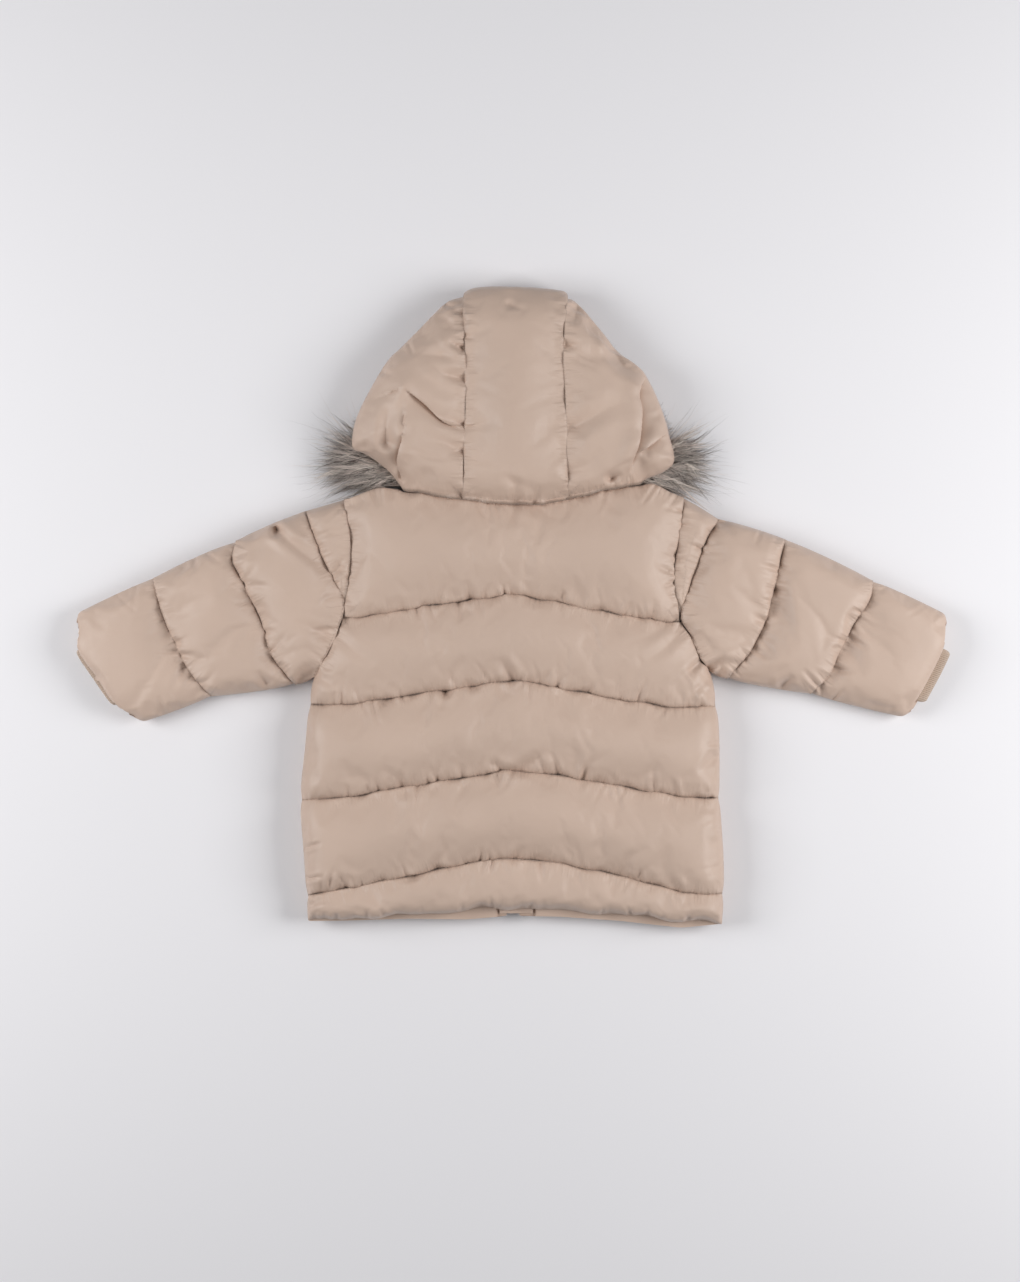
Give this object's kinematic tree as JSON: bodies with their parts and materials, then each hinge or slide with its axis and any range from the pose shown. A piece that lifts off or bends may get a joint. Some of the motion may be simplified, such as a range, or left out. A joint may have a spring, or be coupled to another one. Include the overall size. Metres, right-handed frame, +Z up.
{
  "type": "fur trimmed parka",
  "caption": "Baby's padded parka laid flat with its back up: chevron quilted back, quilted sleeves with knitted cuffs, and a gusseted hood edged with long fur.",
  "frame": {"origin": "under the middle of the garment's outline, on the surface it lies on", "axes": "+X along the sleeves towards the wearer's right, +Y from hem to hood, +Z up from the surface, out of the back"},
  "size_m": [0.79, 0.5761, 0.056],
  "materials": {
    "shell": "fine plain woven polyester with a soft satin sheen, over padding",
    "rib": "matt rib knit",
    "fur": "long pile, grey and black over cream",
    "tape": "woven zip tape",
    "teeth": "moulded plastic",
    "metal": "dull nickel"
  },
  "bodies": {
    "garment": {"back": "shell", "front_left": "shell", "front_right": "shell", "sleeve_left": "shell", "sleeve_right": "shell", "hood_centre": "shell", "hood_left": "shell", "hood_right": "shell", "wind_flap": "shell", "cuff_left": "rib", "cuff_right": "rib", "fur_trim": "fur", "zip_tape_left": "tape", "zip_tape_right": "tape", "zip_teeth": "teeth", "zip_slider": "metal"},
    "pull": {"zip_pull": "metal"}
  },
  "joints": [
    {"name": "pull_hinge", "type": "hinge", "parent": "garment", "child": "pull", "pos_m": [0, 0.051, 0.0019], "axis": [1, 0, 0], "range_deg": [0, 170]}
  ]
}
